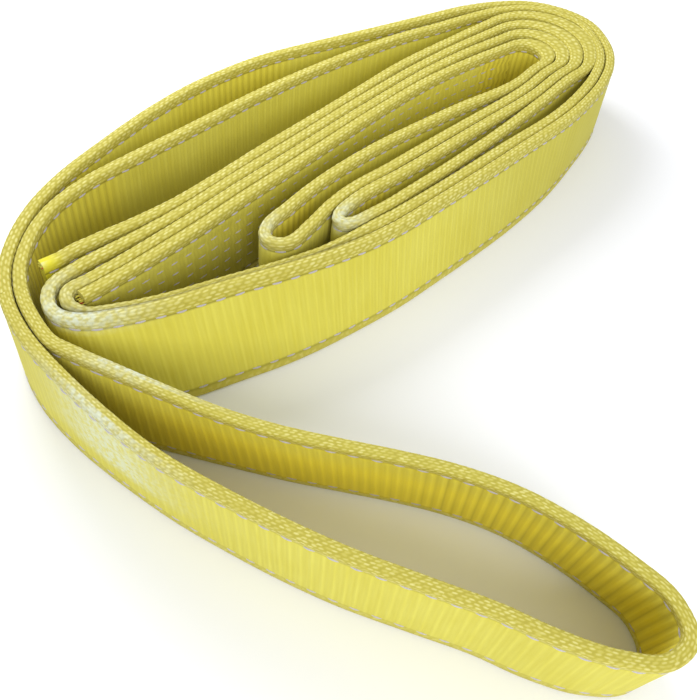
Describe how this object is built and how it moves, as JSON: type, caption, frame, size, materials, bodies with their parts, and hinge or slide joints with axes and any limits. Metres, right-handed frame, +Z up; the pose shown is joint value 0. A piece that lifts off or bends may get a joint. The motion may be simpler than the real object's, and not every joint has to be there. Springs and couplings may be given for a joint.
{
  "type": "flat web sling",
  "caption": "Flat polyester webbing sling with soft eyes, doubled in half and coiled on edge, its middle loop swung out; used to lift or lash loads.",
  "frame": {"origin": "middle of the outline, on the floor under the lower edge of the webbing", "axes": "+X along the coil from the loop towards the far end, +Y across the coil towards its back run, +Z up, across the webbing's width"},
  "size_m": [0.413, 0.3548, 0.05],
  "materials": {
    "webbing_face": "woven, matt",
    "webbing_lining": "woven, matt",
    "sewing_thread": "matt thread"
  },
  "bodies": {
    "coil": {"first_tail_face_ply": "webbing_face", "first_tail_lining_ply": "webbing_lining", "first_eye_face_ply": "webbing_face", "first_eye_lining_ply": "webbing_lining", "first_splice_body_face_ply": "webbing_face", "first_splice_body_lining_ply": "webbing_lining", "first_front_run_face_ply": "webbing_face", "first_front_run_lining_ply": "webbing_lining", "first_back_run_face_ply": "webbing_face", "first_back_run_lining_ply": "webbing_lining", "second_back_run_face_ply": "webbing_face", "second_back_run_lining_ply": "webbing_lining", "second_front_run_face_ply": "webbing_face", "second_front_run_lining_ply": "webbing_lining", "second_splice_body_face_ply": "webbing_face", "second_splice_body_lining_ply": "webbing_lining", "second_eye_face_ply": "webbing_face", "second_eye_lining_ply": "webbing_lining", "second_tail_face_ply": "webbing_face", "second_tail_lining_ply": "webbing_lining", "first_splice_seam": "sewing_thread", "second_splice_seam": "sewing_thread"},
    "end_bend": {"first_bend_face_ply": "webbing_face", "first_bend_lining_ply": "webbing_lining", "second_bend_face_ply": "webbing_face", "second_bend_lining_ply": "webbing_lining"},
    "middle_loop": {"middle_loop_face_ply": "webbing_face", "middle_loop_lining_ply": "webbing_lining"}
  },
  "joints": [
    {"name": "bend_swing", "type": "hinge", "parent": "coil", "child": "end_bend", "pos_m": [-0.17983, 0.11732, 0.025], "axis": [0, 0, -1], "range_deg": [-2, 40]},
    {"name": "loop_swing", "type": "hinge", "parent": "end_bend", "child": "middle_loop", "pos_m": [-0.20057, 0.06275, 0.025], "axis": [0, 0, -1], "range_deg": [-5, 40]}
  ]
}
